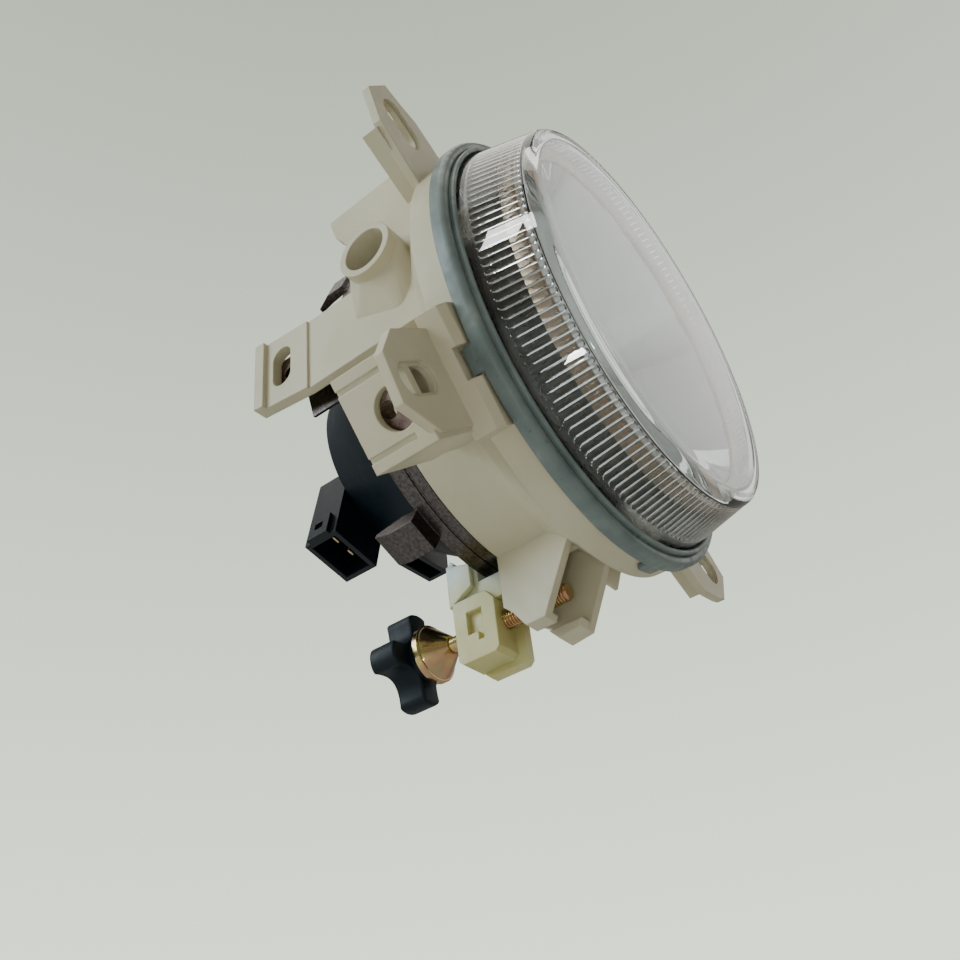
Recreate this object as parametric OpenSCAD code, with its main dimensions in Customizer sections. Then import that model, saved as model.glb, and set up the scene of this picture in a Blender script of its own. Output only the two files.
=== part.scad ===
// Round fog lamp with a moulded housing, glass lens, bayonet rear cap and a screw adjuster.
// The lens faces -Y, +X is to the right seen from the front, +Z is up.
// The origin is on the lens axis, in the plane of the gasket's rear face.
// All dimensions are in millimetres.

/* [Lens and gasket] */
// Outer diameter of the rubber gasket around the lens
gasket_d = 160; // [158:0.5:164]
// Height of the glass above the gasket's rear face
lens_h = 30; // [27:0.5:33]
// Radius of the lens face at its front corner
lens_face_r = 66.4; // [65:0.2:68]
// Thickness of the pressed glass
glass_t = 3; // [2.5:0.1:3.4]
// Rise of the lens face from its corner to its middle
lens_crown = 2.5; // [1:0.1:4]

/* [Housing] */
// Outer radius of the housing barrel
barrel_r = 66; // [66:0.1:67]
// Depth of the barrel's rear face behind the gasket plane
barrel_depth = 40; // [39:0.5:41]
// Wall thickness of the housing
wall = 3; // [2.6:0.1:3.4]
// Depth of the front faces of the three fixing ears
ear_depth = 8; // [7:0.5:9]
// Thickness of an ear
ear_t = 3; // [2.6:0.1:3.6]
// Width of the slots in the ears
slot_w = 8; // [7:0.5:9]
// Length of the slots in the ears, end to end
slot_l = 17; // [14:0.5:18]
// Outer diameter of the breather spigot
spigot_d = 20; // [19:0.5:21]
// Bore of the breather spigot
spigot_bore = 15.4; // [14:0.2:16]

/* [Reflector and bulb] */
// Focal length of the parabolic bowl
focal = 15.5; // [15.4:0.1:16]
// Depth of the bowl's vertex behind the gasket plane
vertex_depth = 42; // [41:0.5:43]
// Radius of the bowl's front rim
bowl_r = 62; // [60:0.5:62]

/* [Rear cap] */
// Depth of the cap's flat rear face
cap_depth = 88; // [84:0.5:90]
// Radius of the cap's rear rim
cap_rim_r = 32; // [30:0.5:34]

/* [Adjuster] */
// Distance of the adjuster's axis below the lens axis
adjuster_drop = 84; // [84:0.1:85]
// Outer diameter of the adjuster thread
thread_d = 6; // [5.6:0.1:6]
// Diameter across the lobes of the star knob
knob_d = 31.5; // [30:0.5:34]

/* [Hidden] */
$fn = 96;

gasket_r = gasket_d / 2;
flange_r = gasket_r - 2;
seat_r = 72.5;
gasket_tab_angles = [60, 215, 283];
lens_foot_r = 75;
lens_foot_z = 1.7;
lens_land_z = 5;
corner_r = 3.4;
neck_r = 60.5;
neck_bore_r = 56.5;
neck_depth = 46;
inner_r = barrel_r - wall;
boss_angles = [30, 150, 270];
boss_r = 66.5;

// Fixing ears: angle from +X towards +Z, middle of the slot, outline as [distance out, distance across]
ears = [
    [147, [95.5, -4.3], [[74, -16], [94, -16.5], [101, -14], [109, -12], [110.5, 1], [99.7, 9.4], [74, 13.6]]],
    [216, [100.2, -0.5], [[74, -15], [102.7, -15], [112, -8.5], [114, 6], [102, 15], [74, 15]]],
    [332, [95, 2], [[74, -15], [95, -15], [105.6, -7.5], [109.5, -3.8], [108.5, 9.7], [97.3, 12.7], [74, 14]]]];
slot_recess = 1;
rib_t = 5;
rib_r = 98.5;
rib_half_w = 11;

// Box bracket behind the lower left ear
box_angle = 217.5;
box_r = 104;
box_half_w = 14;
box_rear = 30.5;
box_hole_depth = 16.5;
box_hole_r = 6.2;

// Vertical side arm on the left
arm_x = -68;
arm_t = 3;
arm_front = 9.4;
arm_rear = 83.5;
arm_low = -20;
arm_high = 9;
arm_slot_l = 16;
arm_slot_w = 8;
arm_slot_y = 72.5;
arm_slot_z = -3.5;

// Breather spigot on the side arm
spigot_y = 27;
spigot_z = 9.5;
spigot_tip_x = -78;
spigot_root_x = -58;

// Channel bracket under the barrel, open along the adjuster's axis
near_x = -7;
far_x = 7;
channel_t = 3;

// Bulb, mounted from the rear through the bowl
holder_depth = 48;
holder_r = 18;
bulb_hole_r = 9;
clip_wire_r = 0.6;
clip_half_w = 5;
clip_hinge_z = -17;
clip_depth = 51.75;
clip_reach = 29;

// Retaining ring
ring_r = 65.4;
ring_front = 40.6;
ring_rear = 50;
lug_span = 20;
lug_angles = [80, 200, 320];
// Spring fingers on the ring: angle, rear depth, height above the ring, width
fingers = [[244, 65.5, 5.5, 12], [157, 62, 1.6, 10], [334, 65.5, 5.5, 12]];
finger_t = 1.2;
stay_angle = 196;
stay_rear = 68;

// Connectors on the rear of the cap
main_angle = -15;
main_size = [21, 14.2, 31];
main_mouth = [-19.2, -44.6];
second_size = [18, 9.5, 21];
second_mouth = [23.5, -32];
shell_t = 1.8;

// Adjuster
screw_r = thread_d / 2;
screw_tip = 20.5;
thread_end = 62;
shank_r = 2.5;
collar_front = 65.5;
collar_rear = 75;
knob_front = 75.4;
knob_rear = 88;
lobe_angle = 9;

// Turns the lamp's own frame, z forward along the lens axis, into the part's frame
module lamp() {
    rotate([90, 0, 0]) children();
}

// A tube along the lamp's axis between two depths
module depth_tube(r_out, r_in, front, rear) {
    translate([0, 0, -rear]) difference() {
        cylinder(r = r_out, h = rear - front);
        translate([0, 0, -1]) cylinder(r = r_in, h = rear - front + 2);
    }
}

// A solid cylinder along the lamp's axis between two depths
module depth_rod(r, front, rear) {
    translate([0, 0, -rear]) cylinder(r = r, h = rear - front);
}

// A straight slot with round ends, along x
module slot_2d(length, width) {
    square([length - width, width], center = true);
    for (side = [-1, 1]) translate([side * (length - width) / 2, 0]) circle(d = width);
}

// A flat plate drawn in the Y-Z plane, between two values of X
module side_plate(x0, x1) {
    translate([x0, 0, 0]) rotate([90, 0, 90]) linear_extrude(x1 - x0) children();
}

// ---- Housing ----

module housing_shell() {
    rotate_extrude() polygon([
        [seat_r, 0], [flange_r, 0], [flange_r, -9], [flange_r - 4.5, -12.5], [barrel_r + 3, -16.5],
        [barrel_r, -21], [barrel_r, -barrel_depth], [neck_r, -barrel_depth], [neck_r, -neck_depth],
        [neck_bore_r, -neck_depth], [neck_bore_r, -barrel_depth + wall], [inner_r, -barrel_depth + wall + 1],
        [inner_r, -20], [seat_r - wall, -13], [seat_r - wall, -6], [seat_r, -6]]);
    for (a = lug_angles) rotate([0, 0, a - lug_span / 2]) translate([0, 0, -neck_depth + 0.5])
        rotate_extrude(angle = lug_span) translate([neck_r - 1, 0]) square([4, 2]);
    for (a = boss_angles) rotate([0, 0, a]) translate([boss_r, 0, -19]) cylinder(r = 4.2, h = 14);
}

module ear(e) {
    rear = ear_depth + ear_t;
    rotate([0, 0, e[0]]) difference() {
        union() {
            translate([0, 0, -rear]) linear_extrude(ear_t) polygon(e[2]);
            translate([69, -rib_half_w, -rear - rib_t]) cube([rib_r - 69, 2 * rib_half_w, rib_t + 1]);
        }
        translate([e[1][0], e[1][1], 0]) {
            translate([0, 0, -rear - rib_t - 1]) linear_extrude(ear_t + rib_t + 2) slot_2d(slot_l, slot_w);
            translate([0, 0, -ear_depth - slot_recess]) linear_extrude(slot_recess + 1)
                slot_2d(slot_l + 2 * slot_recess, slot_w + 2 * slot_recess);
            translate([-slot_l / 2 - 1.5, -slot_w / 2 - 1, -rear - rib_t - 1])
                cube([slot_l + 20, slot_w + 2, rib_t + 1]);
        }
    }
}

// Flat-sided shoulder that carries the flange out to the lower left ear
module ear_shoulder() {
    rotate([0, 0, ears[1][0]]) rotate([90, 0, 0]) linear_extrude(38, center = true)
        polygon([[73, -9.8], [84, -9.8], [83, -2.5], [80.5, -0.5], [74, -0.5]]);
}

module box_bracket() {
    rotate([0, 0, box_angle]) difference() {
        translate([inner_r + 1, -box_half_w, -box_rear])
            cube([box_r - inner_r - 1, 2 * box_half_w, box_rear - ear_depth - 1]);
        translate([barrel_r + 6, -box_half_w + wall, -box_rear - 1])
            cube([box_r - barrel_r - 6 - wall, 2 * (box_half_w - wall), box_rear - ear_depth - ear_t + 1]);
        translate([barrel_r - 8, -box_half_w - 1, -box_rear - 1])
            cube([14.2, 2 * box_half_w + 2, 6]);
        translate([box_r - wall - 1, 1, -box_hole_depth]) rotate([0, 90, 0])
            cylinder(r = box_hole_r, h = wall + 2);
        for (side = [-1, 1]) translate([box_r - 0.7, side * (box_half_w - 4) - 0.8, -box_rear - 1])
            cube([2, 1.6, 17]);
        translate([ears[1][1][0] - slot_l / 2 - 1, -slot_w / 2 - 3.5, -ear_depth - ear_t - 1])
            cube([box_r - ears[1][1][0] + slot_l / 2 - wall + 1, slot_w + 4, ear_t + 2]);
    }
}

module side_arm() {
    difference() {
        union() {
            side_plate(arm_x, arm_x + arm_t) polygon([
                [arm_front, arm_low], [61, arm_low], [arm_rear, arm_low + 3], [arm_rear, arm_high + 2],
                [61, arm_high], [42, arm_high], [42, 31], [45, 36], [47.5, 39.7], [50, 49.5], [16, 51],
                [arm_front, 40]]);
            side_plate(arm_x - 0.8, arm_x + 1) polygon([
                [61, arm_low], [arm_rear, arm_low + 3], [arm_rear, arm_high + 2], [61, arm_high]]);
            side_plate(arm_x - 2.4, arm_x + 1) polygon([
                [arm_rear - 4, arm_low + 2.5], [arm_rear, arm_low + 3], [arm_rear, arm_high + 2],
                [arm_rear - 4, arm_high + 1.6]]);
            translate([arm_x + 0.5, arm_front + 1, arm_low]) cube([23, 30, 3]);
            translate([arm_x + 0.5, arm_front + 1, 27]) cube([23, 28, 3]);
        }
        translate([arm_x - 5, arm_slot_y, arm_slot_z]) rotate([90, 90, 90]) linear_extrude(12)
            slot_2d(arm_slot_l, arm_slot_w);
        lamp() depth_rod(ring_r + 0.4, barrel_depth, ring_rear + 6);
    }
}

module spigot_body() {
    translate([spigot_root_x, spigot_y, spigot_z]) rotate([0, -90, 0])
        cylinder(d = spigot_d, h = spigot_root_x - spigot_tip_x);
    hull() {
        translate([spigot_tip_x + 4, spigot_y, spigot_z]) rotate([0, -90, 0])
            cylinder(d = spigot_d - 0.4, h = 0.5, $fn = 32);
        for (foot = [[21, 2, 6], [23.5, -7, 5], [38.5, -3, 3]])
            translate([arm_x + 1, foot[0], foot[1]]) rotate([0, -90, 0])
                cylinder(r1 = foot[2], r2 = foot[2] - 1.5, h = 1.5, $fn = 24);
    }
}

module spigot_bore_cut() {
    translate([spigot_root_x + 6, spigot_y, spigot_z]) rotate([0, -90, 0])
        cylinder(d = spigot_bore, h = spigot_root_x - spigot_tip_x + 10);
}

module channel_bracket() {
    side_plate(near_x, near_x + channel_t) polygon([
        [barrel_depth, -62], [barrel_depth, -84], [37, -87], [33, -93], [26, -93], [14, -71], [17, -62]]);
    side_plate(near_x + 1, near_x + 6) polygon([[33.5, -92.2], [33, -93], [26, -93], [25, -91], [33, -91]]);
    side_plate(far_x, far_x + channel_t) polygon([
        [barrel_depth, -62], [barrel_depth, -84], [33, -89], [28, -96], [20, -95], [9, -74], [9, -62]]);
    side_plate(far_x - 4.5, far_x + 1) polygon([[31, -92.4], [28, -96], [20, -95], [19, -92.6]]);
    side_plate(far_x + 1, far_x + 15) polygon([[12, -60], [12, -70], [15, -77], [16, -77], [16, -60]]);
}

module housing() {
    color("wheat") difference() {
        union() {
            lamp() {
                housing_shell();
                for (e = ears) ear(e);
                ear_shoulder();
                box_bracket();
            }
            difference() {
                union() {
                    side_arm();
                    spigot_body();
                    channel_bracket();
                }
                lamp() depth_rod(barrel_r - 1, 5, barrel_depth + 0.5);
            }
        }
        spigot_bore_cut();
        lamp() for (a = gasket_tab_angles) rotate([0, 0, a])
            translate([flange_r + 0.05, -5, -3.9]) cube([8, 10, 5]);
        lamp() for (a = boss_angles) rotate([0, 0, a])
            translate([boss_r, 0, -16]) cylinder(r = 1.45, h = 12);
        lamp() translate([0, 0, -5.9]) cylinder(r = seat_r, h = 10);
        lamp() translate([0, 0, -12.9]) cylinder(r = barrel_r - 5.2, h = 10);
    }
}

// ---- Lens side ----

// Outer outline of the glass from its foot to the middle of its face, inset by d
function lens_outline(d) = concat(
    [[lens_foot_r - d, lens_foot_z], [lens_foot_r - d, lens_land_z]],
    [for (a = [13:11:90]) [lens_face_r - 0.2 + (corner_r - d * 0.9) * cos(a),
        lens_h - corner_r + (corner_r - d * 0.9) * sin(a)]],
    [for (k = [0.9:-0.15:0]) [lens_face_r * k, lens_h + lens_crown * (1 - k * k) - d]]);

module lens_glass() {
    outer = lens_outline(0);
    inner = lens_outline(glass_t);
    n = len(outer);
    m = len(inner);
    color("lightblue", 0.4) lamp() rotate_extrude() polygon(concat(
        outer, [[0, lens_h + lens_crown], [0, lens_h + lens_crown - glass_t]],
        [for (i = [1:m]) inner[m - i]]));
}

module lens_gasket() {
    color("slategray") lamp() {
        rotate_extrude() polygon([
            [seat_r + 0.3, 0.05], [gasket_r, 0.05], [gasket_r, 4.6], [gasket_r - 0.8, 6], [gasket_r - 2, 6.4],
            [gasket_r - 2.7, 5.7], [gasket_r - 3.3, 6.2], [gasket_r - 3.6, 8], [gasket_r - 4.4, 8.6],
            [lens_foot_r + 0.1, 8], [lens_foot_r + 0.1, lens_foot_z - 0.1], [seat_r + 0.3, lens_foot_z - 0.1]]);
        for (a = gasket_tab_angles) rotate([0, 0, a]) translate([flange_r + 0.1, -4.5, -3.5]) cube([1.8, 9, 4.5]);
    }
}

module lens_bezel() {
    rim_z = bowl_r * bowl_r / (4 * focal) - vertex_depth;
    color("rosybrown") lamp() rotate_extrude() polygon([
        [bowl_r - 1, rim_z + 0.1], [bowl_r - 1, rim_z + 1.1], [bowl_r + 3.4, rim_z + 2.4],
        [bowl_r + 4.4, rim_z + 1.6], [bowl_r + 4.4, rim_z - 3], [bowl_r + 3.4, rim_z - 3],
        [bowl_r + 3.2, rim_z + 0.6]]);
}

// ---- Reflector ----

// Point of the bowl's inner face at radius r, moved outwards by t along its normal
function bowl_point(r, t) = let (slope = r / (2 * focal), n = sqrt(1 + slope * slope))
    [r + t * slope / n, r * r / (4 * focal) - vertex_depth - t / n];

module reflector_bowl() {
    bowl_t = 1.2;
    hole_r = 10;
    color("silver") lamp() {
        rotate_extrude() polygon(concat(
            [for (i = [0:13]) bowl_point(hole_r + (bowl_r - hole_r) * i / 13, 0)],
            [for (i = [13:-1:0]) bowl_point(hole_r + (bowl_r - hole_r) * i / 13, bowl_t)]));
        depth_tube(hole_r + 1.4, hole_r, vertex_depth - 1, holder_depth);
        difference() {
            depth_tube(holder_r, hole_r, holder_depth - 1.4, holder_depth);
            for (side = [-1, 1]) translate([side * 14.5, 0, -holder_depth - 1]) cylinder(r = 1.6, h = 4);
        }
    }
}

module reflector_carrier() {
    color("gainsboro") lamp() difference() {
        union() {
            depth_tube(seat_r - 0.4, 50, 4.6, 5.8);
            depth_tube(51.2, 50, 5.4, 9);
        }
        for (a = boss_angles) rotate([0, 0, a]) translate([boss_r, 0, -7]) cylinder(r = 1.6, h = 4);
    }
}

module carrier_screws() {
    color("dimgray") lamp() for (a = boss_angles) rotate([0, 0, a]) translate([boss_r, 0, 0])
        difference() {
            union() {
                translate([0, 0, -15]) cylinder(r = 1.4, h = 11);
                translate([0, 0, -4.5]) cylinder(r = 2.8, h = 2);
            }
            translate([-2, -0.4, -3.4]) cube([4, 0.8, 2]);
            translate([-0.4, -2, -3.4]) cube([0.8, 4, 2]);
        }
}

module bulb_shield() {
    leg = [[9, -14], [9, -15.5], [19, -34.8], [20.2, -34.2], [10, -14]];
    color("silver") lamp() {
        difference() {
            translate([0, 0, -16]) cylinder(r = 10, h = 5);
            translate([0, 0, -17]) cylinder(r = 9.2, h = 5);
        }
        for (side = [0, 180]) rotate([90, 0, side]) translate([0, 0, -1.5]) linear_extrude(3) polygon(leg);
    }
}

// ---- Bulb ----

module bulb_holder_plate() {
    rear = holder_depth + 1.2;
    color("lightgray") lamp() difference() {
        union() {
            depth_tube(holder_r, bulb_hole_r, holder_depth + 0.05, rear);
            for (side = [-1, 1]) translate([side * 8.2 - 0.6, clip_hinge_z - 1.5, -clip_depth - 1.5])
                cube([1.2, 3, clip_depth + 1.5 - holder_depth - 0.4]);
        }
        for (side = [-1, 1]) translate([side * 14.5, 0, -rear - 1]) cylinder(r = 1.6, h = 4);
        translate([-10, clip_hinge_z, -clip_depth]) rotate([0, 90, 0])
            cylinder(r = clip_wire_r + 0.06, h = 20);
    }
}

module holder_rivets() {
    color("gray") lamp() for (side = [-1, 1]) translate([side * 14.5, 0, 0]) {
        depth_rod(1.5, holder_depth - 2, holder_depth + 2.4);
        depth_rod(2.5, holder_depth + 1.3, holder_depth + 2.4);
        depth_rod(2.5, holder_depth - 2.6, holder_depth - 1.5);
    }
}

module bulb_base() {
    color("gold") lamp() {
        depth_rod(11, holder_depth + 1.3, holder_depth + 2.8);
        depth_rod(bulb_hole_r - 0.3, 41, holder_depth + 1.4);
        depth_rod(4, holder_depth + 2.7, holder_depth + 8);
    }
}

module bulb_glass() {
    color("lightcyan", 0.5) lamp() rotate_extrude() polygon([
        [0, -19.8], [3.2, -20.6], [5, -22.6], [5.6, -25], [5.6, -40.9], [4.8, -40.9], [4.8, -25.2],
        [4.2, -23.2], [2.8, -21.5], [0, -20.8]]);
}

module bulb_filament() {
    focus = vertex_depth - focal;
    color("dimgray") lamp() {
        translate([-2.6, 0, -focus]) rotate([0, 90, 0]) cylinder(r = 0.6, h = 5.2);
        for (side = [-1, 1]) translate([side * 2.4, 0, -40.9]) cylinder(r = 0.3, h = 40.9 - focus);
    }
}

module bulb_clip() {
    color("silver") translate([0, clip_depth, clip_hinge_z]) {
        translate([-9.6, 0, 0]) rotate([0, 90, 0]) cylinder(r = clip_wire_r, h = 19.2, $fn = 24);
        for (side = [-1, 1]) translate([side * clip_half_w, 0, 0]) {
            cylinder(r = clip_wire_r, h = clip_reach, $fn = 24);
            translate([0, 0, clip_reach]) sphere(r = clip_wire_r, $fn = 16);
        }
        translate([-clip_half_w, 0, clip_reach]) rotate([0, 90, 0])
            cylinder(r = clip_wire_r, h = 2 * clip_half_w, $fn = 24);
    }
}

module bulb_lead() {
    lead_r = 1.1;
    bend_r = 4;
    start = holder_depth + 6;
    color("black") {
        translate([0, start, -4.2]) rotate([180, 0, 0]) cylinder(r = lead_r, h = 18.8);
        translate([0, start + bend_r, -23]) rotate([0, 90, 0]) rotate([0, 0, 180])
            mirror([1, 0, 0]) rotate_extrude(angle = 90) translate([bend_r, 0]) circle(r = lead_r, $fn = 24);
        translate([0, start + bend_r, -23 - bend_r]) rotate([-90, 0, 0])
            cylinder(r = lead_r, h = cap_depth - 2.4 - start - bend_r);
    }
}

module earth_lead() {
    color("saddlebrown") lamp() translate([14.5, -9, 0]) {
        depth_rod(1.1, holder_depth + 2.6, cap_depth - 2.4);
        depth_rod(2.4, holder_depth + 1.3, holder_depth + 2.6);
    }
}

// ---- Rear cap, ring and connectors ----

module rear_cap() {
    color("#1c2830") lamp() rotate_extrude() polygon([
        [59.5, -47.6], [59.5, -48.7], [54.6, -48.7], [53.4, -53], [48.5, -63], [42.6, -72.5], [37, -80.5],
        [cap_rim_r + 1, 1.2 - cap_depth], [cap_rim_r, -cap_depth], [cap_rim_r - 1.2, -cap_depth],
        [cap_rim_r - 1.8, 0.6 - cap_depth], [0, 0.6 - cap_depth], [0, 2.4 - cap_depth],
        [cap_rim_r - 0.8, 2.4 - cap_depth], [34.8, -80], [40.4, -71.6], [46.2, -62], [51, -52.2],
        [52, -47.6]]);
}

module cap_seal() {
    color("black") lamp() depth_tube(60, 56.8, neck_depth + 0.1, neck_depth + 1.5);
}

// A bar of the given width, from an outline of [height above the ring, depth] points
module finger_bar(outline, width) {
    rotate([90, 0, 0]) linear_extrude(width, center = true)
        polygon([for (point = outline) [ring_r + point[0], -point[1]]]);
}

// A folded sheet spring that stands off the ring, open towards the lens axis
module finger(rear, high, width) {
    fold = rear - 5.5;
    inner = high - finger_t;
    difference() {
        finger_bar([[-1, 49], [high, 50], [high, fold], [high - 2.3, rear], [high - 4, rear], [-1.5, 56]], width);
        finger_bar([[-3, 49.8], [-0.5, 51], [inner, 51.2], [inner, fold - 0.4], [inner - 2, rear - 1.2],
            [-3, rear + 1]], width - 2 * finger_t);
    }
}

module retaining_ring() {
    color("silver") lamp() {
        rotate_extrude() polygon([
            [ring_r, -ring_front], [ring_r, -44], [ring_r - 0.5, -44.3], [ring_r - 0.5, -44.7], [ring_r, -45],
            [ring_r, -ring_rear], [55.4, -ring_rear], [55.4, -ring_rear + 1], [ring_r - 1, -ring_rear + 1],
            [ring_r - 1, -ring_front]]);
        for (a = lug_angles) rotate([0, 0, a - lug_span / 2 + 1]) translate([0, 0, -43.2])
            rotate_extrude(angle = lug_span - 2) translate([neck_r + 0.35, 0]) square([ring_r - neck_r - 0.8, 1.6]);
        for (f = fingers) rotate([0, 0, f[0]]) finger(f[1], f[2], f[3]);
        rotate([0, 0, stay_angle]) finger_bar([[-1.5, 49.2], [0, 49.2], [-2.4, 55], [-2.4, stay_rear],
            [-3.6, stay_rear], [-3.6, 54.6]], 10);
    }
}

// A connector shell, open at its lower end, with its rear wall on the cap's rear face
module shell(size, bump) {
    difference() {
        union() {
            translate([-size[0] / 2, 0, 0]) cube(size);
            if (bump > 0) translate([-size[0] / 2 - bump, 2.5, 0]) cube([bump + 1, size[1] - 5, 9]);
        }
        translate([-size[0] / 2 + shell_t, shell_t, -1])
            cube([size[0] - 2 * shell_t, size[1] - 2 * shell_t, size[2] * 0.62]);
        if (bump > 0) translate([-size[0] / 2 - bump - 1, size[1] / 2 - 1.8, 3.4]) cube([2.4, 3.6, 3]);
    }
}

module terminals(size, pitch) {
    for (side = [-1, 1]) {
        translate([side * pitch / 2 - 1.4, size[1] / 2 - 0.4, 5]) cube([2.8, 0.8, size[2] * 0.62 - 6.2]);
    }
}

module at_main() {
    translate([main_mouth[0], cap_depth + 0.05, main_mouth[1]]) rotate([0, -main_angle, 0]) children();
}

module at_second() {
    translate([second_mouth[0], cap_depth + 0.05, second_mouth[1]]) children();
}

module main_connector() {
    color("#15181c") at_main() shell(main_size, 1.8);
}

module main_terminals() {
    color("goldenrod") at_main() terminals(main_size, 7.5);
}

module second_connector() {
    color("#15181c") at_second() shell(second_size, 0);
}

module second_terminals() {
    color("goldenrod") at_second() terminals(second_size, 6);
}

// ---- Bracket hardware ----

module clip_nut() {
    difference() {
        union() {
            translate([-7, -7, 0]) cube([14, 14, 1]);
            translate([0, 0, -6]) cylinder(r = 3.8, h = 6.5);
        }
        translate([0, 0, -7]) cylinder(r = 2.5, h = 10);
    }
}

module clip_nuts() {
    color("gray") {
        lamp() rotate([0, 0, box_angle]) translate([box_r - wall - 1.1, 0, -box_hole_depth - 3.4])
            rotate([0, 90, 0]) clip_nut();
        translate([arm_x + arm_t + 1.1, arm_slot_y, arm_slot_z]) rotate([0, -90, 0]) clip_nut();
    }
}

// ---- Adjuster ----

module along_adjuster() {
    translate([0, 0, -adjuster_drop]) lamp() children();
}

module adjuster_nut() {
    near = near_x + 1;
    far = far_x + 1;
    color("honeydew") difference() {
        union() {
            side_plate(near, far - 3.6) polygon([
                [44, -94.5], [45.5, -96], [58, -96], [59.5, -94.5], [60, -74], [47, -74], [44, -78]]);
            side_plate(far - 4, far) polygon([
                [41, -96.5], [42.5, -98], [55.5, -98], [57, -96.5], [57, -76], [45, -76], [41, -80]]);
            side_plate(near + 2.4, far - 1.4) polygon([[27, -68.5], [27, -76], [46, -77], [61, -77], [61, -60],
                [50.6, -60], [50.6, -68.5]]);
            side_plate(near + 1.5, far) polygon([[59, -58], [60, -57], [61.6, -58.5], [61.6, -73], [59, -75.5]]);
            side_plate(near, near + 2) polygon([[52, -62], [61, -59.5], [61, -75], [52, -70]]);
        }
        along_adjuster() depth_rod(screw_r + 0.08, 30, 70);
        side_plate(near - 1, near + 2.2) polygon([[49, -90], [51, -90], [51, -87], [55, -87], [55, -79], [49, -79]]);
    }
}

module adjuster_screw() {
    color("darkkhaki") along_adjuster() {
        depth_rod(screw_r, screw_tip + 1, thread_end);
        depth_rod(screw_r - 0.7, screw_tip, screw_tip + 1.1);
        depth_rod(shank_r, thread_end - 0.1, knob_rear - 4);
    }
}

module adjuster_collar() {
    color("goldenrod") along_adjuster() difference() {
        rotate_extrude() polygon([
            [0, -collar_front], [3.6, -collar_front], [8.9, -collar_rear + 2.6], [9.8, -collar_rear + 2.6],
            [9.8, -collar_rear], [0, -collar_rear]]);
        depth_rod(shank_r + 0.08, collar_front - 1, collar_rear + 1);
    }
}

module adjuster_knob() {
    scallop_r = knob_d * 0.26;
    color("#17202a") along_adjuster() difference() {
        union() {
            depth_rod(7.6, knob_front, knob_front + 3);
            translate([0, 0, -knob_rear]) linear_extrude(knob_rear - knob_front - 2) difference() {
                circle(d = knob_d);
                for (a = [lobe_angle:90:359]) rotate([0, 0, a + 45]) translate([knob_d * 0.47, 0])
                    circle(r = scallop_r);
            }
        }
        depth_rod(shank_r, knob_front - 1, knob_rear - 3.9);
    }
}

housing();
lens_glass();
lens_gasket();
reflector_bowl();
reflector_carrier();
carrier_screws();
lens_bezel();
bulb_shield();
bulb_holder_plate();
holder_rivets();
bulb_base();
bulb_glass();
bulb_filament();
bulb_clip();
bulb_lead();
earth_lead();
rear_cap();
cap_seal();
retaining_ring();
main_connector();
main_terminals();
second_connector();
second_terminals();
clip_nuts();
adjuster_nut();
adjuster_screw();
adjuster_collar();
adjuster_knob();
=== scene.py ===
"""Looks for the fog lamp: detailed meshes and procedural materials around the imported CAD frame."""
import math

import bmesh
import bpy
from mathutils import Matrix, Vector
from mathutils.geometry import interpolate_bezier


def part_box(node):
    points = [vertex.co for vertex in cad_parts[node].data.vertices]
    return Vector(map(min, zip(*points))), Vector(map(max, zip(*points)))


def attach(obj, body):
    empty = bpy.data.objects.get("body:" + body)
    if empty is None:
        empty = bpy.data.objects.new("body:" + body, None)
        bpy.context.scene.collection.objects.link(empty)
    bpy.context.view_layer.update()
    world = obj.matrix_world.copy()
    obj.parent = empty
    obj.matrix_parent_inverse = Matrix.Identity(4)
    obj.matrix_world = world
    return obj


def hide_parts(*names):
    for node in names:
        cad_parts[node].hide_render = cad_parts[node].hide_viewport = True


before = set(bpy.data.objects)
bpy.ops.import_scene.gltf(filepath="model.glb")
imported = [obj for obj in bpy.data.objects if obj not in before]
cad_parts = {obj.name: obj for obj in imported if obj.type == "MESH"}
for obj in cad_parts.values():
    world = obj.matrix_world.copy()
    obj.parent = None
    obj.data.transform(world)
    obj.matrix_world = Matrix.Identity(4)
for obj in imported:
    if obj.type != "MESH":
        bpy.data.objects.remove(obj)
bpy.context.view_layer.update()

MM = 0.001
TURN = 2 * math.pi


# ---- Sizes in millimetres, taken from the CAD nodes' boxes where a box gives them ----

def node_mm(node):
    """Lowest and highest corner of a CAD node, in millimetres."""
    low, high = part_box(node)
    return low / MM, high / MM


# The gasket reaches in under the glass's foot to GASKET_INNER_R.
GASKET_R = node_mm("lens_gasket")[1].x
GASKET_INNER_R = 72.8
GASKET_TAB_DEG = (60, 215, 283)

# The glass: a foot, a side wall that leans in from WALL_FORWARD on, a rounded corner, and a face that
# domes out by CROWN.
LENS_LOW, LENS_HIGH = node_mm("lens_glass")
LENS_FOOT_R = LENS_HIGH.x
FOOT_FORWARD = -LENS_HIGH.y
WALL_FORWARD = 5.0
CROWN = 2.5
FACE_FORWARD = -LENS_LOW.y - CROWN
FACE_R = 66.2
CORNER_R = 3.4
GLASS_T = 3.0

# The flutes inside the side wall, each FLUTE_STEPS segments wide, round off over FLUTE_END at both ends.
FLUTES = 156
FLUTE_STEPS = 8
FLUTE_HEIGHT = 0.85
FLUTE_FROM, FLUTE_TO = 8.4, 25.2
FLUTE_END = 1.6

# The bowl: a parabola with its vertex at VERTEX behind the gasket's plane.
BOWL_REAR_FORWARD = -node_mm("reflector_bowl")[1].y
FOCAL = 15.5
VERTEX = 42.0
BOWL_HOLE_R = 10.0
BOWL_RIM_R = 62.0
BOWL_T = 1.2

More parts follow.
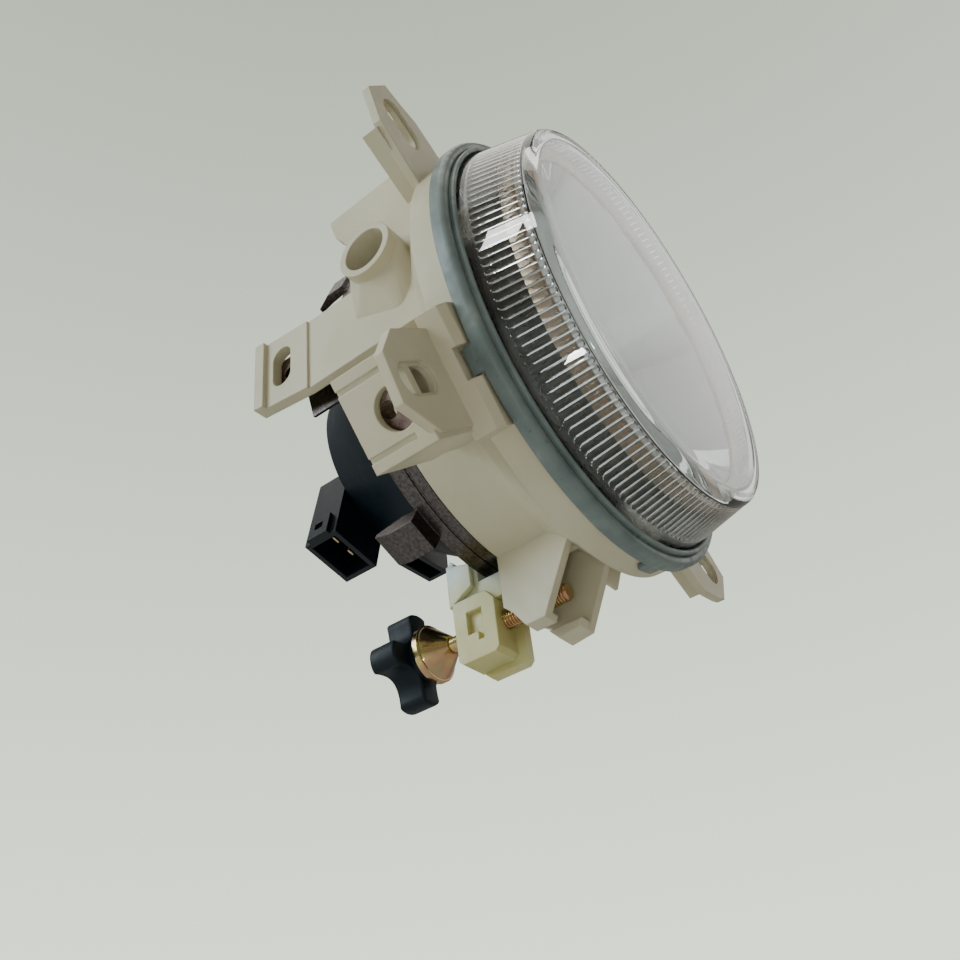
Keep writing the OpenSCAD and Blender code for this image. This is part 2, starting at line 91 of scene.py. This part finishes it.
# The adjuster: collar, screw and knob on one axis.
COLLAR_LOW, COLLAR_HIGH = node_mm("adjuster_collar")
COLLAR_R = (COLLAR_HIGH.z - COLLAR_LOW.z) / 2
ADJUSTER_Z = (COLLAR_LOW.z + COLLAR_HIGH.z) / 2
SCREW_LOW, SCREW_HIGH = node_mm("adjuster_screw")
SCREW_R = (SCREW_HIGH.z - SCREW_LOW.z) / 2
THREAD_END = 62.0
THREAD_DEPTH = 0.55
PITCH = 1.0
SHANK_R = 2.5
KNOB_LOW, KNOB_HIGH = node_mm("adjuster_knob")
KNOB_R = 15.75
LOBE_ANGLE = math.radians(9)

CAP_LOW, CAP_HIGH = node_mm("rear_cap")
CAP_RIM_R = 32.0


# ---- Mesh helpers ----

def make_mesh(name, verts, faces, sharp_deg=35):
    """A new object from points in millimetres, smooth but for its sharp edges, its faces turned outwards."""
    mesh = bpy.data.meshes.new(name)
    mesh.from_pydata([Vector(v) * MM for v in verts], [], faces)
    mesh.validate()
    obj = bpy.data.objects.new(name, mesh)
    bpy.context.scene.collection.objects.link(obj)
    mesh.shade_smooth()
    mesh.set_sharp_from_angle(angle=math.radians(sharp_deg))
    bm = bmesh.new()
    bm.from_mesh(mesh)
    bmesh.ops.recalc_face_normals(bm, faces=bm.faces)
    bm.to_mesh(mesh)
    bm.free()
    return obj


def grid_faces(rows, columns, closed=False):
    """Quads over a grid that closes along its columns. The rows close too, or get a face at each end."""
    faces = []
    for i in range(rows if closed else rows - 1):
        k = (i + 1) % rows
        for j in range(columns):
            n = (j + 1) % columns
            faces.append((i * columns + j, k * columns + j, k * columns + n, i * columns + n))
    if not closed:
        last = (rows - 1) * columns
        faces.append(tuple(range(columns)))
        faces.append(tuple(reversed(range(last, last + columns))))
    return faces


def lamp_point(r, angle, forward):
    """A point at radius r round the lens axis, a distance forward of the gasket's plane."""
    return (r * math.cos(angle), -forward, r * math.sin(angle))


def adjuster_point(r, angle, depth):
    """A point at radius r round the adjuster's axis, at a depth behind the gasket's plane."""
    return (r * math.cos(angle), depth, ADJUSTER_Z + r * math.sin(angle))


def lathe(name, profile, place=lamp_point, segments=256, closed=True, shift=None, sharp_deg=35):
    """Turns a profile of (radius, distance) points. shift(i, angle) moves point i outwards."""
    # Points on the axis are kept just off it, so that no two of them fall together.
    least_r = 1e-4
    verts = []
    for i, (r, distance) in enumerate(profile):
        for j in range(segments):
            angle = TURN * j / segments
            moved = r + shift(i, angle) if shift else r
            verts.append(place(max(moved, least_r), angle, distance))
    return make_mesh(name, verts, grid_faces(len(profile), segments, closed), sharp_deg)


def arc(centre, radius, start, end, steps):
    """Points on an arc in a profile, from start to end in degrees."""
    angles = [math.radians(start + (end - start) * k / steps) for k in range(steps + 1)]
    return [(centre[0] + radius * math.cos(a), centre[1] + radius * math.sin(a)) for a in angles]


def rounded_block(name, outline, lower, upper, radius, place, steps=4):
    """An outline pulled from lower to upper, both rims rounded. place turns (u, v, w) into a point."""
    count = len(outline)
    inward = []
    for i in range(count):
        before, after = outline[i - 1], outline[(i + 1) % count]
        tangent = Vector((after[0] - before[0], after[1] - before[1])).normalized()
        inward.append((-tangent.y, tangent.x))
    quarter = [math.pi / 2 * k / steps for k in range(steps + 1)]
    rows = [(radius * (1 - math.sin(t)), lower + radius * (1 - math.cos(t))) for t in quarter]
    rows += [(radius * (1 - math.cos(t)), upper - radius * (1 - math.sin(t))) for t in quarter]
    verts = [place(p[0] + n[0] * inset, p[1] + n[1] * inset, w)
             for inset, w in rows for p, n in zip(outline, inward)]
    return make_mesh(name, verts, grid_faces(len(rows), count), sharp_deg=60)


def tube(name, route, radius, sides):
    """A round wire along a route of points in millimetres."""
    tilt = Vector((0.2, 0.1, 1.0))
    verts = []
    for i, point in enumerate(route):
        before, after = route[max(i - 1, 0)], route[min(i + 1, len(route) - 1)]
        ahead = (Vector(after) - Vector(before)).normalized()
        side = ahead.cross(tilt).normalized()
        up = ahead.cross(side)
        for j in range(sides):
            angle = TURN * j / sides
            verts.append(Vector(point) + radius * (math.cos(angle) * side + math.sin(angle) * up))
    return make_mesh(name, verts, grid_faces(len(route), sides), sharp_deg=60)


def join(name, parts):
    """One object from several, under a new name."""
    bpy.ops.object.select_all(action="DESELECT")
    for part in parts:
        part.select_set(True)
    bpy.context.view_layer.objects.active = parts[0]
    bpy.ops.object.join()
    parts[0].name = name
    return parts[0]


# ---- Material helpers ----

class Paint:
    """A Principled material and short ways to wire its procedural detail."""

    def __init__(self, name, **sockets):
        self.material = bpy.data.materials.new(name)
        self.material.use_nodes = True
        self.tree = self.material.node_tree
        self.shader = self.tree.nodes["Principled BSDF"]
        for key, value in sockets.items():
            self.shader.inputs[key.replace("_", " ")].default_value = value
        coordinates = self.tree.nodes.new("ShaderNodeTexCoord")
        self.place = coordinates.outputs["Object"]

    def node(self, kind, **inputs):
        """A new node, each input linked to a source or set to a constant."""
        made = self.tree.nodes.new(kind)
        for key, value in inputs.items():
            socket = made.inputs[key.replace("_", " ")]
            if isinstance(value, bpy.types.NodeSocket):
                self.tree.links.new(value, socket)
            else:
                socket.default_value = value
        return made

    def noise(self, scale, detail):
        """Noise with a scale in cells per metre."""
        made = self.node("ShaderNodeTexNoise", Vector=self.place, Scale=scale, Detail=detail)
        return made.outputs["Fac"]

    def ramp(self, source, stops):
        """A colour ramp over source, from (position, colour) stops."""
        made = self.node("ShaderNodeValToRGB", Fac=source)
        elements = made.color_ramp.elements
        while len(elements) < len(stops):
            elements.new(0.5)
        for element, (position, colour) in zip(elements, stops):
            element.position = position
            element.color = (*colour, 1)
        return made.outputs["Color"]

    def span(self, source, low, high, start=0.3, end=0.7):
        """Maps source from start..end to low..high."""
        made = self.node("ShaderNodeMapRange", Value=source)
        for key, value in zip(("From Min", "From Max", "To Min", "To Max"), (start, end, low, high)):
            made.inputs[key].default_value = value
        return made.outputs["Result"]

    def set(self, socket, source):
        """Links a source to one of the shader's sockets."""
        self.tree.links.new(source, self.shader.inputs[socket])

    def relief(self, bumps, edge=0.0):
        """Bump from (height source, depth in metres) pairs over softly rounded edges."""
        normal = None
        if edge:
            bevel = self.node("ShaderNodeBevel", Radius=edge)
            bevel.samples = 6
            normal = bevel.outputs["Normal"]
        for height, depth in bumps:
            bump = self.node("ShaderNodeBump", Height=height, Strength=1.0, Distance=depth)
            if normal:
                self.tree.links.new(normal, bump.inputs["Normal"])
            normal = bump.outputs["Normal"]
        self.set("Normal", normal)


def moulded(name, dark, light, roughness, edge=0.0005, **sockets):
    """Moulded plastic: cloudy colour, fine grain, shine that varies a little and soft edges."""
    paint = Paint(name, **sockets)
    paint.set("Base Color", paint.ramp(paint.noise(28, 4), [(0.36, dark), (0.64, light)]))
    paint.set("Roughness", paint.span(paint.noise(160, 3), *roughness))
    paint.relief([(paint.noise(2400, 2), 0.00002), (paint.noise(120, 2), 0.00003)], edge)
    return paint.material


def metal(name, dark, light, roughness, speck=0.00001, scale=500, edge=0.0003):
    """Plated or drawn metal: blotchy tint, uneven shine and a fine speckled relief."""
    paint = Paint(name, Metallic=1.0)
    paint.set("Base Color", paint.ramp(paint.noise(scale * 0.3, 4), [(0.35, dark), (0.62, light)]))
    paint.set("Roughness", paint.span(paint.noise(scale, 3), *roughness))
    paint.relief([(paint.noise(scale * 3, 2), speck)], edge)
    return paint.material


def clear_glass(name, tint, waves=0.0):
    """Clear pressed glass with a slight tint and, if asked, faint waves in its surface."""
    paint = Paint(name, Transmission_Weight=1.0, IOR=1.5, Base_Color=(*tint, 1), Roughness=0.0)
    if waves:
        paint.relief([(paint.noise(90, 2), waves)])
    return paint.material


def gasket_rubber():
    """Grey rubber of the gasket, with dusty and shiny handling marks."""
    paint = Paint("gasket_rubber", Specular_IOR_Level=0.45)
    tints = [(0.35, (0.11, 0.14, 0.135)), (0.6, (0.17, 0.205, 0.19)), (0.8, (0.33, 0.36, 0.33))]
    paint.set("Base Color", paint.ramp(paint.noise(75, 5), tints))
    paint.set("Roughness", paint.span(paint.noise(240, 4), 0.26, 0.55))
    paint.relief([(paint.noise(180, 3), 0.00025), (paint.noise(1500, 2), 0.00003)])
    return paint.material


def milky_nylon():
    """Milky natural nylon: a yellow-green body that turns blue-white towards its flange."""
    paint = Paint("nut_nylon", Transmission_Weight=0.2, Subsurface_Weight=0.5, Subsurface_Scale=0.004,
                  Subsurface_Radius=(1.0, 0.95, 0.6), IOR=1.45)
    height = paint.node("ShaderNodeSeparateXYZ", Vector=paint.place).outputs["Z"]
    blend = paint.span(height, 0.2, 0.8, ADJUSTER_Z * MM, (ADJUSTER_Z + 18) * MM)
    cloudy = paint.node("ShaderNodeMath", Value=blend)
    paint.tree.links.new(paint.span(paint.noise(60, 3), -0.25, 0.25), cloudy.inputs[1])
    tints = [(0.15, (0.60, 0.54, 0.22)), (0.5, (0.68, 0.64, 0.32)), (0.85, (0.66, 0.75, 0.70))]
    paint.set("Base Color", paint.ramp(cloudy.outputs["Value"], tints))
    paint.set("Roughness", paint.span(paint.noise(300, 3), 0.28, 0.45))
    paint.relief([(paint.noise(900, 2), 0.00004)], 0.0006)
    return paint.material


def yellow_zinc():
    """Yellow zinc passivate that drifts between brass, coppery pink and a greenish grey."""
    paint = Paint("zinc_yellow", Metallic=1.0)
    tints = [(0.30, (0.34, 0.33, 0.18)), (0.46, (0.56, 0.44, 0.17)), (0.58, (0.52, 0.29, 0.17)),
             (0.72, (0.42, 0.38, 0.20))]
    paint.set("Base Color", paint.ramp(paint.noise(95, 3), tints))
    paint.set("Roughness", paint.span(paint.noise(600, 3), 0.10, 0.24))
    paint.relief([(paint.noise(1800, 2), 0.000012)], 0.0002)
    return paint.material


# ---- Lens side ----

def wall_radius(forward):
    """Outer radius of the glass's side wall at a distance forward of the gasket's plane."""
    top = FACE_FORWARD - CORNER_R
    share = (forward - WALL_FORWARD) / (top - WALL_FORWARD)
    return LENS_FOOT_R + (FACE_R + CORNER_R - LENS_FOOT_R) * share


def crown(shares, inset=0.0):
    """Points on the domed face at shares of its radius, an inset behind its outside."""
    return [(FACE_R * k, FACE_FORWARD + CROWN * (1 - k * k) - inset) for k in shares]


def flute(angle, forward):
    """How far a rounded flute stands in from the wall's inner face."""
    across = (angle * FLUTES / TURN) % 1.0 * 2 - 1
    from_end = min(forward - FLUTE_FROM, FLUTE_TO - forward)
    if from_end <= 0:
        return 0.0
    rest = 1 - min(from_end / FLUTE_END, 1.0)
    width = math.sqrt(max(1 - rest * rest, 1e-6))
    return FLUTE_HEIGHT * width * max(0.0, 1 - (across / width) ** 2)


def lens():
    """The pressed glass: smooth outside, with a bead round its face, and fluted inside."""
    outer = [(LENS_FOOT_R - 0.3, FOOT_FORWARD), (LENS_FOOT_R, FOOT_FORWARD + 0.3)]
    outer += [(LENS_FOOT_R, WALL_FORWARD - 0.2)]
    outer += [(wall_radius(f), f) for f in (WALL_FORWARD + 0.2, 8, 12, 16, 20, 24, 26)]
    outer += arc((FACE_R, FACE_FORWARD - CORNER_R), CORNER_R, 10, 84, 8)
    outer += [(65.4, FACE_FORWARD + 0.02), (64.6, FACE_FORWARD - 0.12), (63.8, FACE_FORWARD + 0.12)]
    outer += crown((0.92, 0.8, 0.65, 0.5, 0.35, 0.2, 0.08, 0))

    inner = crown((0, 0.08, 0.2, 0.35, 0.5, 0.65, 0.8, 0.9), GLASS_T)
    inner += arc((FACE_R - 2.4, FACE_FORWARD - GLASS_T - 1.6), 1.6, 85, 10, 4)
    # Rows of points along the flutes, close together where an end rounds off.
    round_off = (-0.1, 0.0, 0.03, 0.1, 0.22, 0.4, 0.65, 1.0)
    rows = [FLUTE_TO - FLUTE_END * s for s in round_off]
    rows += [FLUTE_TO - (FLUTE_TO - FLUTE_FROM) * k / 6 for k in range(1, 6)]
    rows += [FLUTE_FROM + FLUTE_END * s for s in reversed(round_off)]
    inner += [(wall_radius(f) - GLASS_T, f) for f in rows + [6.0]]
    inner += [(LENS_FOOT_R - GLASS_T, FOOT_FORWARD)]
    profile = outer + inner

    def shift(i, angle):
        return -flute(angle, profile[i][1]) if i >= len(outer) else 0.0

    return lathe("lens", profile, segments=FLUTES * FLUTE_STEPS, shift=shift, sharp_deg=50)


def gasket_tab(turn):
    """A rounded moulding tab that reaches behind the gasket's plane, at an angle round the lens axis."""
    def place(u, v, w):
        r = GASKET_R - 1.85 + w
        x = r * math.cos(turn) - u * math.sin(turn)
        z = r * math.sin(turn) + u * math.cos(turn)
        return (x, -v, z)

    side, rear, front = 3.4, -2.3, 0.5
    outline = []
    for k, centre in enumerate([(side, front), (-side, front), (-side, rear), (side, rear)]):
        outline += arc(centre, 1, 90 * k, 90 * (k + 1), 4)
    return rounded_block("tab", outline, 0, 1.75, 0.5, place)


def gasket():
    """The rubber ring: a wide outer lobe, a groove and a thinner lip on the glass, with moulding tabs."""
    ledge, rear, r = 1.6, 0.05, GASKET_R
    profile = [(LENS_FOOT_R + 0.1, ledge), (GASKET_INNER_R, ledge), (GASKET_INNER_R, rear), (r - 0.6, rear)]
    profile += arc((r - 0.6, 0.65), 0.6, -80, 0, 3)
    profile += arc((r - 2.1, 3.4), 2.1, 0, 118, 12)
    profile += [(r - 3.25, 4.65)]
    profile += arc((LENS_FOOT_R + 0.9, 6.3), 0.85, -20, 165, 9)
    body = lathe("gasket", profile, segments=288, sharp_deg=45)
    return join("gasket", [body] + [gasket_tab(math.radians(angle)) for angle in GASKET_TAB_DEG])


def bowl_point(r, thickness):
    """A point on the bowl's parabola at radius r, or a thickness out from it."""
    slope = r / (2 * FOCAL)
    unit = math.sqrt(1 + slope * slope)
    return (r + thickness * slope / unit, r * r / (4 * FOCAL) - VERTEX - thickness / unit)


def bezel():
    """The bright rolled rim round the bowl's mouth."""
    r, rim = bowl_point(BOWL_RIM_R, 0)
    profile = [(r - 1, rim + 0.1), (r - 1, rim + 1.0)]
    profile += arc((r + 3.2, rim + 1.2), 1.2, 100, 0, 5)
    profile += [(r + 4.4, rim - 3), (r + 3.6, rim - 3), (r + 3.4, rim + 0.4)]
    return lathe("bezel", profile)


def bowl():
    """The parabolic bowl with its neck and flange, mirrored inside; its back is dull metal, darkened as
    painted shade.
    """
    radii = [BOWL_HOLE_R + (BOWL_RIM_R - BOWL_HOLE_R) * k / 32 for k in range(33)]
    inner = [bowl_point(r, 0) for r in radii]
    outer = [bowl_point(r, BOWL_T) for r in reversed(radii) if r > BOWL_HOLE_R + 1.8]
    neck_r, flange_r = BOWL_HOLE_R + 1.4, 18
    rear, front = BOWL_REAR_FORWARD, BOWL_REAR_FORWARD + 1.4
    neck = [(neck_r, -VERTEX), (neck_r, front), (flange_r, front), (flange_r, rear), (BOWL_HOLE_R, rear)]
    segments = 192
    made = lathe("bowl", inner + outer + neck, segments=segments, sharp_deg=30)
    made.data.materials.append(MIRROR)
    made.data.materials.append(BOWL_BACK_DULL_AND_SHADE)
    # The back's faces take the dull metal, whose colour is darkened to paint the shade inside the housing.
    for face in made.data.polygons:
        if face.index // segments >= len(inner) - 1:
            face.material_index = 1
    return made


# ---- Bulb ----

def bulb_envelope():
    """The bulb's clear glass tube with its domed tip."""
    low, high = node_mm("bulb_glass")
    r, rear, tip = high.x, -high.y, -low.y
    dome_r, wall = 3.6, 0.8
    centre = (r - dome_r, tip - 4)
    outer = [(r - 0.7, rear), (r, rear + 1)] + arc(centre, dome_r, 0, 75, 6)
    outer += [(1.0, tip - 0.2), (0.3, tip)]
    inner = [(0.3, tip - 1), (1.0, tip - 1.1)] + arc(centre, dome_r - wall, 75, 0, 6)
    inner += [(r - wall, rear + 1), (r - 1.5, rear)]
    return lathe("bulb_envelope", outer + inner, segments=64)


def filament():
    """The wound wire across the bulb and its two posts."""
    low, high = node_mm("bulb_filament")
    middle, rear = low.y + 0.6, high.y
    turns, steps, half, coil_r = 11, 10, 2.5, 0.42
    route = []
    for k in range(turns * steps + 1):
        angle = TURN * k / steps
        x = -half + 2 * half * k / (turns * steps)
        route.append((x, middle + coil_r * math.cos(angle), coil_r * math.sin(angle)))
    parts = [tube("coil", route, 0.11, 6)]
    for side in (-1, 1):
        post = [(side * 2.4, rear, 0), (side * 2.4, middle + 2, 0), (side * 2.45, middle, 0)]
        parts.append(tube("post", post, 0.26, 12))
    return join("filament", parts)


# ---- Rear cap ----

def cap():
    """The rear cap: flared skirt, straight cone and a flat back inside a thin raised rim."""
    front, rear, r = -CAP_LOW.y, -CAP_HIGH.y, CAP_RIM_R
    back, skirt_r = rear + 0.6, 59.5
    outer = [(skirt_r, front), (skirt_r, front - 1.0), (54.9, front - 1.15), (54.4, front - 1.6)]
    outer += [(53.4, -53), (48.5, -63), (42.6, -72.5), (37, -80.5), (33.3, rear + 1.6)]
    outer += arc((r + 0.1, rear + 0.7), 0.7, -10, -90, 4)
    outer += [(r - 0.9, rear), (r - 1.3, rear + 0.1), (r - 1.9, back)]
    # A fine groove round the middle of the back.
    outer += [(22, back), (21.8, back + 0.15), (21, back + 0.15), (20.8, back), (0, back)]
    inner = [(0, rear + 2.4), (r - 0.8, rear + 2.4), (34.8, -80), (40.4, -71.6), (46.2, -62)]
    inner += [(51, -52.2), (52, front)]
    return lathe("cap", outer + inner, segments=224, sharp_deg=28)


# ---- Adjuster ----

def screw():
    """The adjuster's screw: a helical thread with a chamfered tip, and its plain shank."""
    around, per_turn = 32, 10
    tip, end = SCREW_LOW.y, THREAD_END
    count = int((end - tip) / PITCH * per_turn)
    verts = []
    for i in range(count + 1):
        depth = tip + (end - tip) * i / count
        fade = max(0.0, min((depth - tip) / 0.9, (end - depth) / 1.5, 1.0))
        for j in range(around):
            # Flat crest and root, with straight flanks between.
            phase = (depth / PITCH - j / around) % 1.0
            height = max(0.0, min(1.0, 1.35 - 2.97 * abs(phase - 0.5)))
            r = SCREW_R - THREAD_DEPTH * (1 - height * fade)
            verts.append(adjuster_point(r, TURN * j / around, depth))
    thread = make_mesh("thread", verts, grid_faces(count + 1, around), sharp_deg=50)
    shank = lathe("shank", [(SHANK_R - 0.2, end - 0.6), (SHANK_R, end - 0.2), (SHANK_R, SCREW_HIGH.y)],
                  adjuster_point, segments=48, closed=False)
    return join("screw", [thread, shank])


def collar():
    """The loose cone with its turned flange."""
    front, rear = COLLAR_LOW.y, COLLAR_HIGH.y
    r, bore = COLLAR_R, SHANK_R + 0.08
    profile = [(bore, front), (3.3, front), (3.6, front + 0.3), (8.8, rear - 2.9), (8.95, rear - 2.6)]
    profile += [(9.4, rear - 2.55), (r, rear - 2.1), (r, rear - 0.35), (r - 0.35, rear), (bore, rear)]
    return lathe("collar", profile, adjuster_point, segments=160, sharp_deg=24)


def knob_outline(r, waist, lobe_half):
    """Outline of a four-lobed star: round-ended arms joined by hollows."""
    edge_u, edge_v, rounding = lobe_half * 0.94, r - 3.4, 2.2
    half_end = [(edge_u, edge_v)]
    half_end += [(lobe_half * math.cos(a), r - rounding + rounding * math.sin(a))
                 for a in (0.25, 0.6, 0.95, 1.25, TURN / 4)]
    lobe_end = half_end + [(-u, v) for u, v in reversed(half_end[:-1])]
    points = []
    for k in range(4):
        turn = LOBE_ANGLE + TURN * k / 4
        axis = Vector((math.cos(turn), math.sin(turn)))
        cross = Vector((-axis.y, axis.x))
        points += [axis * v - cross * u for u, v in lobe_end]
        # The hollow is a curve from this lobe's edge to the next lobe's, drawn in towards the waist.
        start, end = points[-1], Matrix.Rotation(TURN / 4, 2) @ (axis * edge_v - cross * edge_u)
        low = (axis + cross).normalized() * waist
        handles = [low * 0.51 + knot * 0.28 for knot in (start, end)]
        points += interpolate_bezier(start, *handles, end, 13)[1:-1]
    return [tuple(p) for p in points]


def knob():
    """The star knob, with a hub on its front and soft edges all round."""
    def place(u, v, w):
        return (u, w, ADJUSTER_Z + v)

    front, rear = KNOB_LOW.y, KNOB_HIGH.y
    bore, hub_r, hub_rear = 2.6, 7.6, front + 3
    outline = knob_outline(KNOB_R, waist=7.2, lobe_half=4.3)
    star = rounded_block("star", outline, front + 2, rear, 1.1, place, steps=5)
    hub = lathe("hub", [(bore, front), (hub_r - 0.4, front), (hub_r, front + 0.4), (hub_r, hub_rear),
                        (bore, hub_rear)], adjuster_point, segments=64)
    return join("knob", [star, hub])


# ---- Materials on their pieces ----

def set_material(obj, material):
    """Gives an object one material in place of any others."""
    obj.data.materials.clear()
    obj.data.materials.append(material)


def dress(obj, body, node, material=None):
    """A new piece takes a CAD node's place and rides on its body. It gets a material if one is given."""
    if material:
        set_material(obj, material)
    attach(obj, body)
    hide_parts(node)


BEIGE = moulded("housing_beige", (0.50, 0.45, 0.30), (0.57, 0.52, 0.37), (0.34, 0.48), edge=0.0007,
                Specular_IOR_Level=0.4, Subsurface_Weight=0.12, Subsurface_Scale=0.002)
NAVY = moulded("blue_black_plastic", (0.003, 0.007, 0.011), (0.006, 0.012, 0.018), (0.40, 0.54),
               Specular_IOR_Level=0.2)
BLACK = moulded("black_plastic", (0.003, 0.005, 0.008), (0.006, 0.009, 0.013), (0.30, 0.42),
                Specular_IOR_Level=0.3)
RUBBER = gasket_rubber()
BLACK_RUBBER = moulded("black_rubber", (0.010, 0.010, 0.011), (0.022, 0.022, 0.023), (0.5, 0.65))
BROWN_RUBBER = moulded("brown_rubber", (0.075, 0.030, 0.014), (0.11, 0.048, 0.022), (0.42, 0.55))
GLASS = clear_glass("lens_glass_clear", (0.93, 0.975, 0.975), waves=0.00002)
BULB_GLASS = clear_glass("bulb_glass_clear", (0.98, 0.98, 0.99))
MIRROR = metal("reflector_mirror", (0.80, 0.80, 0.81), (0.88, 0.88, 0.89), (0.03, 0.09),
               0.000002, 60, edge=0)
# The bowl's back: dull bare metal, its colour darkened as painted shade for the shadow it lies in inside the
# housing.
BOWL_BACK_DULL_AND_SHADE = metal("bowl_back_dull_and_painted_shade", (0.27, 0.25, 0.22), (0.42, 0.40, 0.36), (0.22, 0.48), scale=300, edge=0)
COPPER = metal("bezel_rim", (0.20, 0.13, 0.085), (0.34, 0.24, 0.17), (0.16, 0.30), 0.000004, 120, edge=0)
STEEL = metal("zinc_steel", (0.42, 0.43, 0.45), (0.58, 0.58, 0.59), (0.24, 0.42))
CARRIER = metal("carrier_steel", (0.24, 0.21, 0.17), (0.38, 0.35, 0.30), (0.22, 0.42))
CLIP_STEEL = metal("clip_nut_steel", (0.10, 0.055, 0.045), (0.30, 0.24, 0.21), (0.18, 0.38), 0.00002, 400)
SPRING = metal("spring_wire", (0.42, 0.41, 0.40), (0.62, 0.61, 0.60), (0.16, 0.30))
DARK_CHROME = metal("ring_dark_chrome", (0.075, 0.060, 0.058), (0.13, 0.115, 0.11), (0.10, 0.24),
                    0.00002, 3200)
BRASS = metal("terminal_brass", (0.60, 0.47, 0.24), (0.74, 0.62, 0.36), (0.20, 0.34))
TUNGSTEN = metal("tungsten", (0.14, 0.14, 0.15), (0.24, 0.24, 0.25), (0.35, 0.5))
ZINC = yellow_zinc()
NYLON = milky_nylon()

dress(lens(), "lamp", "lens_glass", GLASS)
dress(gasket(), "lamp", "lens_gasket", RUBBER)
dress(bezel(), "lamp", "lens_bezel", COPPER)
dress(bowl(), "lamp", "reflector_bowl")
dress(bulb_envelope(), "lamp", "bulb_glass", BULB_GLASS)
dress(filament(), "lamp", "bulb_filament", TUNGSTEN)
dress(cap(), "lamp", "rear_cap", NAVY)
dress(screw(), "screw", "adjuster_screw", ZINC)
dress(collar(), "collar", "adjuster_collar", ZINC)
dress(knob(), "screw", "adjuster_knob", NAVY)

CAD_LOOKS = {
    "housing": BEIGE, "reflector_carrier": CARRIER, "carrier_screws": STEEL, "bulb_shield": MIRROR,
    "bulb_holder_plate": STEEL, "holder_rivets": STEEL, "bulb_base": BRASS, "bulb_clip": SPRING,
    "bulb_lead": BLACK_RUBBER, "earth_lead": BROWN_RUBBER, "cap_seal": BLACK_RUBBER,
    "retaining_ring": DARK_CHROME, "main_connector": BLACK, "main_terminals": BRASS,
    "second_connector": BLACK, "second_terminals": BRASS, "clip_nuts": CLIP_STEEL, "adjuster_nut": NYLON}
for node, material in CAD_LOOKS.items():
    set_material(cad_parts[node], material)


# ---- Stage, light and camera, in metres ----

def stage():
    """A plain pale floor below the lamp."""
    half, height = 4.0, -0.30
    corners = [(-half, -half, height), (half, -half, height), (half, half, height), (-half, half, height)]
    mesh = bpy.data.meshes.new("floor")
    mesh.from_pydata(corners, [], [(0, 1, 2, 3)])
    floor = bpy.data.objects.new("floor", mesh)
    bpy.context.scene.collection.objects.link(floor)
    pale = Paint("floor_pale", Roughness=0.75)
    tints = [(0.35, (0.60, 0.61, 0.59)), (0.65, (0.66, 0.67, 0.65))]
    pale.set("Base Color", pale.ramp(pale.noise(2.5, 2), tints))
    mesh.materials.append(pale.material)


def sky():
    """A pale surround that lights the lamp softly, and that the camera sees fade from bottom to top."""
    world = bpy.data.worlds.new("surround")
    bpy.context.scene.world = world
    world.use_nodes = True
    tree = world.node_tree
    glow = tree.nodes["Background"]
    glow.inputs["Color"].default_value = (1.0, 0.98, 0.88, 1)
    glow.inputs["Strength"].default_value = 0.31
    seen = tree.nodes.new("ShaderNodeBackground")
    coordinates = tree.nodes.new("ShaderNodeTexCoord")
    split = tree.nodes.new("ShaderNodeSeparateXYZ")
    rise = tree.nodes.new("ShaderNodeMapRange")
    rise.inputs["From Min"].default_value = 0.2
    rise.inputs["From Max"].default_value = 0.9
    ramp = tree.nodes.new("ShaderNodeValToRGB")
    ramp.color_ramp.elements[0].color = (1.50, 1.66, 1.36, 1)
    ramp.color_ramp.elements[1].color = (0.63, 0.70, 0.57, 1)
    tree.links.new(coordinates.outputs["Generated"], split.inputs["Vector"])
    tree.links.new(split.outputs["Z"], rise.inputs["Value"])
    tree.links.new(rise.outputs["Result"], ramp.inputs["Fac"])
    tree.links.new(ramp.outputs["Color"], seen.inputs["Color"])
    rays = tree.nodes.new("ShaderNodeLightPath")
    blend = tree.nodes.new("ShaderNodeMixShader")
    tree.links.new(rays.outputs["Is Camera Ray"], blend.inputs["Fac"])
    tree.links.new(glow.outputs["Background"], blend.inputs[1])
    tree.links.new(seen.outputs["Background"], blend.inputs[2])
    tree.links.new(blend.outputs["Shader"], tree.nodes["World Output"].inputs["Surface"])


def softbox(name, place, size, power, colour=(1, 1, 1)):
    """An area light that faces the lamp's middle."""
    light = bpy.data.lights.new(name, "AREA")
    light.shape = "RECTANGLE"
    light.size, light.size_y = size
    light.energy, light.color = power, colour
    obj = bpy.data.objects.new(name, light)
    bpy.context.scene.collection.objects.link(obj)
    middle = Vector((0, 0.03, 0))
    obj.location = place
    obj.rotation_euler = (middle - Vector(place)).to_track_quat("-Z", "Y").to_euler()


def camera():
    """The photograph's view: from below, left and in front, with the lens axis rising to the right."""
    data = bpy.data.cameras.new("camera")
    data.lens, data.sensor_width = 39.375, 36
    obj = bpy.data.objects.new("camera", data)
    bpy.context.scene.collection.objects.link(obj)
    right = Vector((0.6101, -0.7856, -0.1052))
    up = Vector((-0.4214, -0.4337, 0.7969))
    back = Vector((-0.6716, -0.4415, -0.5955))
    turn = Matrix((right, up, back)).transposed()
    obj.matrix_world = Matrix.Translation((-0.2431, -0.1128, -0.2431)) @ turn.to_4x4()
    bpy.context.scene.camera = obj


stage()
sky()
softbox("key", (-0.85, 0.65, 0.40), (0.7, 0.7), 9.5, (0.86, 1.0, 1.07))
softbox("top", (-0.2, 0.2, 1.3), (1.2, 1.2), 6, (1.0, 0.98, 0.92))
softbox("front", (1.1, -0.9, 1.0), (1.8, 1.8), 9, (1.0, 1.0, 0.97))
softbox("window", (-0.94, -0.07, 0.48), (0.05, 0.17), 0.8)
softbox("glint", (-0.284, -0.082, -0.274), (0.02, 0.02), 0.1)
camera()
